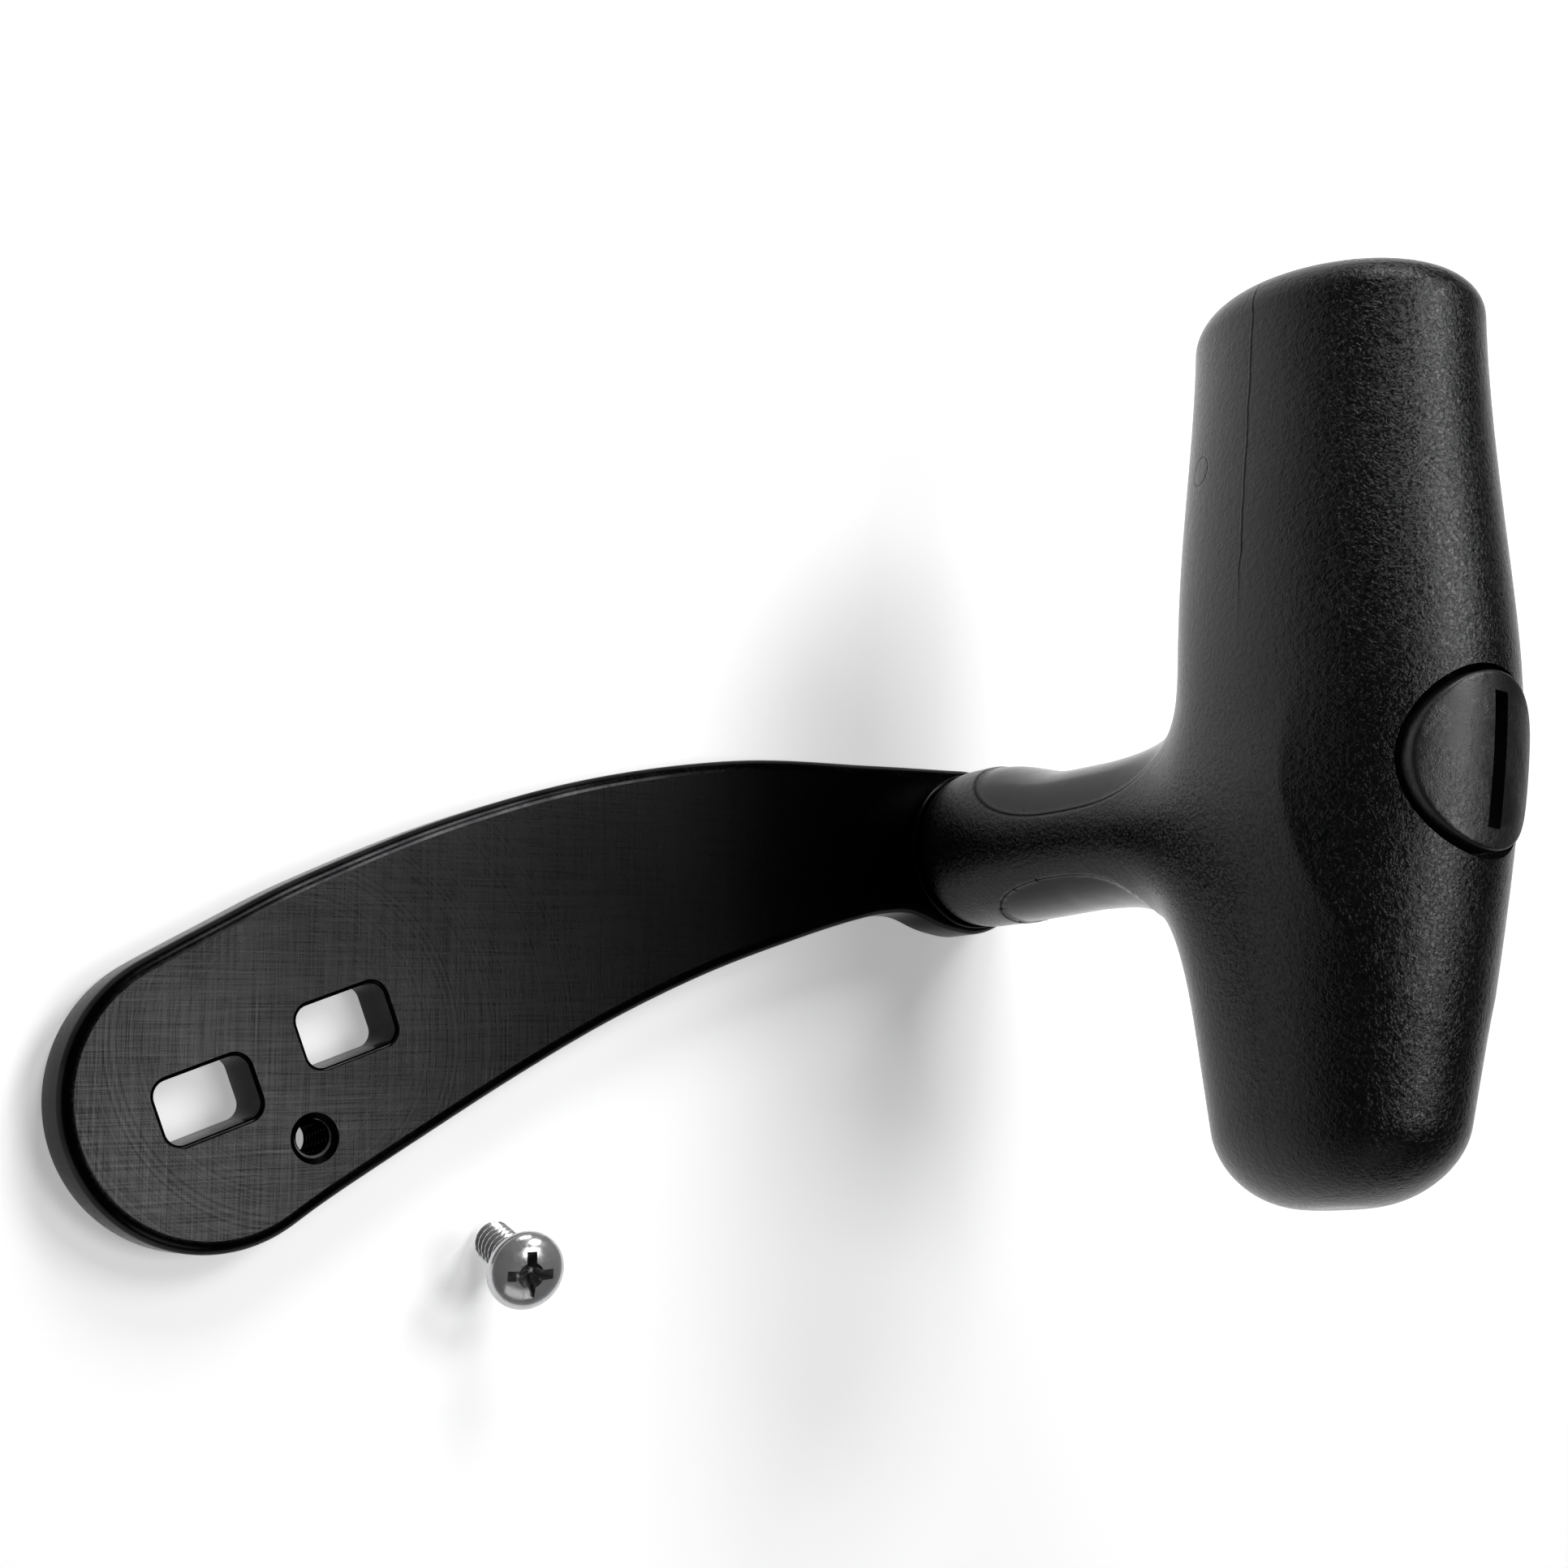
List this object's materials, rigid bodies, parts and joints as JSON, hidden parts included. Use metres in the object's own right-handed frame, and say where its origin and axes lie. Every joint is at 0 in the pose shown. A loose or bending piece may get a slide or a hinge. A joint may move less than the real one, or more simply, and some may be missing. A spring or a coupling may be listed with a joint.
{
  "type": "fishing reel power handle",
  "caption": "Black crank arm with two drive holes, a free-spinning T-bar grip on bearings and a loose lock screw, for winding a fishing reel.",
  "frame": {"origin": "middle of the outer drive hole, on the arm's back face", "axes": "+Z out of the arm's front face towards the grip, +X from the outer drive hole to the grip's spindle"},
  "size_m": [0.1361, 0.0867, 0.0789],
  "materials": {
    "black_anodised_aluminium": "satin black anodised, turned and brushed",
    "black_nylon": "fine leather-grain moulded texture",
    "stainless_steel": "polished",
    "bearing_steel": "ground and polished",
    "brass_cage": "pressed brass",
    "black_rubber": "moulded nitrile",
    "white_acetal": "plain acetal"
  },
  "bodies": {
    "arm": {"crank_arm": "black_anodised_aluminium", "spindle": "stainless_steel", "spindle_screw": "stainless_steel", "thrust_washer": "white_acetal", "bearing_spacer": "stainless_steel", "wave_washer": "stainless_steel", "retaining_washer": "stainless_steel", "retaining_screw": "stainless_steel", "dust_seal": "black_rubber", "inner_bearing_inner_ring": "bearing_steel", "outer_bearing_inner_ring": "bearing_steel"},
    "grip": {"grip_body": "black_nylon", "inner_bearing_outer_ring": "bearing_steel", "inner_bearing_shield_low": "stainless_steel", "inner_bearing_shield_high": "stainless_steel", "outer_bearing_outer_ring": "bearing_steel", "outer_bearing_shield_low": "stainless_steel", "outer_bearing_shield_high": "stainless_steel"},
    "inner_ball_set": {"inner_bearing_cage": "brass_cage", "inner_bearing_ball_1": "bearing_steel", "inner_bearing_ball_2": "bearing_steel", "inner_bearing_ball_3": "bearing_steel", "inner_bearing_ball_4": "bearing_steel", "inner_bearing_ball_5": "bearing_steel", "inner_bearing_ball_6": "bearing_steel", "inner_bearing_ball_7": "bearing_steel"},
    "outer_ball_set": {"outer_bearing_cage": "brass_cage", "outer_bearing_ball_1": "bearing_steel", "outer_bearing_ball_2": "bearing_steel", "outer_bearing_ball_3": "bearing_steel", "outer_bearing_ball_4": "bearing_steel", "outer_bearing_ball_5": "bearing_steel", "outer_bearing_ball_6": "bearing_steel", "outer_bearing_ball_7": "bearing_steel"},
    "cap_seal": {"cap_seal_ring": "black_rubber"},
    "cap": {"grip_cap": "black_nylon"},
    "lock_screw": {"lock_screw": "stainless_steel"}
  },
  "joints": [
    {"name": "grip_spin", "type": "hinge", "parent": "arm", "child": "grip", "pos_m": [0.0952, 0, 0.06], "axis": [0, 0, 1], "continuous": true},
    {"name": "inner_balls_orbit", "type": "hinge", "parent": "arm", "child": "inner_ball_set", "pos_m": [0.0952, 0, 0.0113], "axis": [0, 0, 1], "continuous": true},
    {"name": "outer_balls_orbit", "type": "hinge", "parent": "arm", "child": "outer_ball_set", "pos_m": [0.0952, 0, 0.06], "axis": [0, 0, 1], "continuous": true},
    {"name": "cap_lift", "type": "slide", "parent": "grip", "child": "cap_seal", "axis": [0, 0, 1], "range_m": [0, 0.0045]},
    {"name": "cap_turn", "type": "hinge", "parent": "cap_seal", "child": "cap", "pos_m": [0.0952, 0, 0.0725], "axis": [0, 0, 1], "range_deg": [0, 1080]},
    {"name": "lock_screw_lift", "type": "slide", "parent": "arm", "child": "lock_screw", "axis": [0, 0, 1], "range_m": [0, 0.03]}
  ],
  "couplings": [
    {"joint": "inner_balls_orbit", "follows": "grip_spin", "ratio": 0.589},
    {"joint": "outer_balls_orbit", "follows": "grip_spin", "ratio": 0.589},
    {"joint": "cap_turn", "follows": "cap_lift", "rad_per_m": 4188.8}
  ]
}
